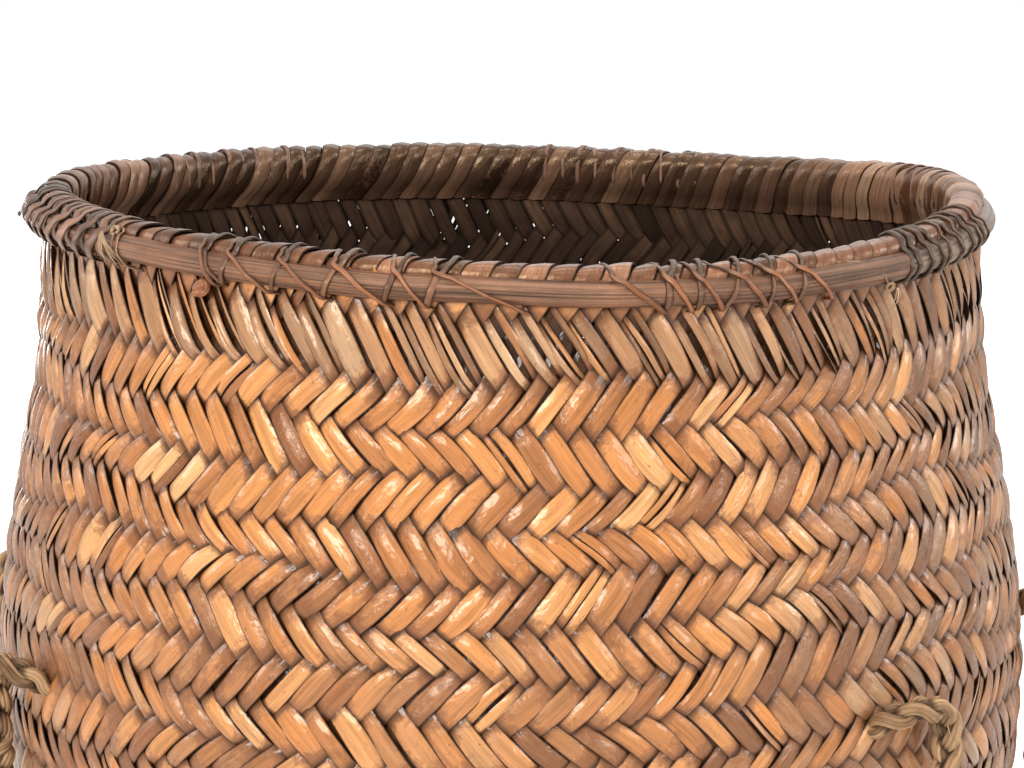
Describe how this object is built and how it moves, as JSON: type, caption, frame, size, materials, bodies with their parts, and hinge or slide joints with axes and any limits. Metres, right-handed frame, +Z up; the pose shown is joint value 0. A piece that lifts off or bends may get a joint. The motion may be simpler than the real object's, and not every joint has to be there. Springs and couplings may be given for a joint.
{
  "type": "carrying basket",
  "caption": "Open round basket plaited on the bias over a square base, with a bound double-hoop rim and hanging rope loops that swing up as handles.",
  "frame": {"origin": "middle of the flat base, on the floor", "axes": "+Z up out of the mouth, -Y towards the front that the picture shows, +X to its right"},
  "size_m": [0.4532, 0.4194, 0.3902],
  "materials": {
    "plaited_strip": "satin plaited cane strips, orange tan with brown and purple patches",
    "split_cane": "dry split cane with a fine lengthwise grain",
    "pale_cane": "pale split cane",
    "vine_lashing": "dark split vine",
    "straw": "dry straw",
    "straw_rope": "braided straw rope"
  },
  "bodies": {
    "basket": {"woven_body": "plaited_strip", "outer_hoop_front": "split_cane", "outer_hoop_rear": "split_cane", "inner_hoop": "pale_cane", "front_left_lashing": "vine_lashing", "front_right_lashing": "vine_lashing", "right_end_lashing": "vine_lashing", "right_splice_lashing": "vine_lashing", "rear_right_lashing": "vine_lashing", "rear_lashing": "vine_lashing", "rear_left_lashing": "vine_lashing", "left_splice_wrap": "vine_lashing", "vine_knob": "vine_lashing", "left_straw_tie": "straw", "right_straw_tie": "straw", "right_front_rope_end": "straw_rope", "right_rear_rope_end": "straw_rope", "left_front_rope_end": "straw_rope", "left_rear_rope_end": "straw_rope"},
    "right_handle": {"right_rope_handle": "straw_rope"},
    "left_handle": {"left_rope_handle": "straw_rope"}
  },
  "joints": [
    {"name": "right_handle_swing", "type": "hinge", "parent": "basket", "child": "right_handle", "pos_m": [0.18744, -0.09345, 0.21], "axis": [-0.4462, -0.8949, 0], "range_deg": [0, 165]},
    {"name": "left_handle_swing", "type": "hinge", "parent": "basket", "child": "left_handle", "pos_m": [-0.20714, -0.03096, 0.21], "axis": [-0.1478, 0.989, 0], "range_deg": [0, 165]}
  ]
}
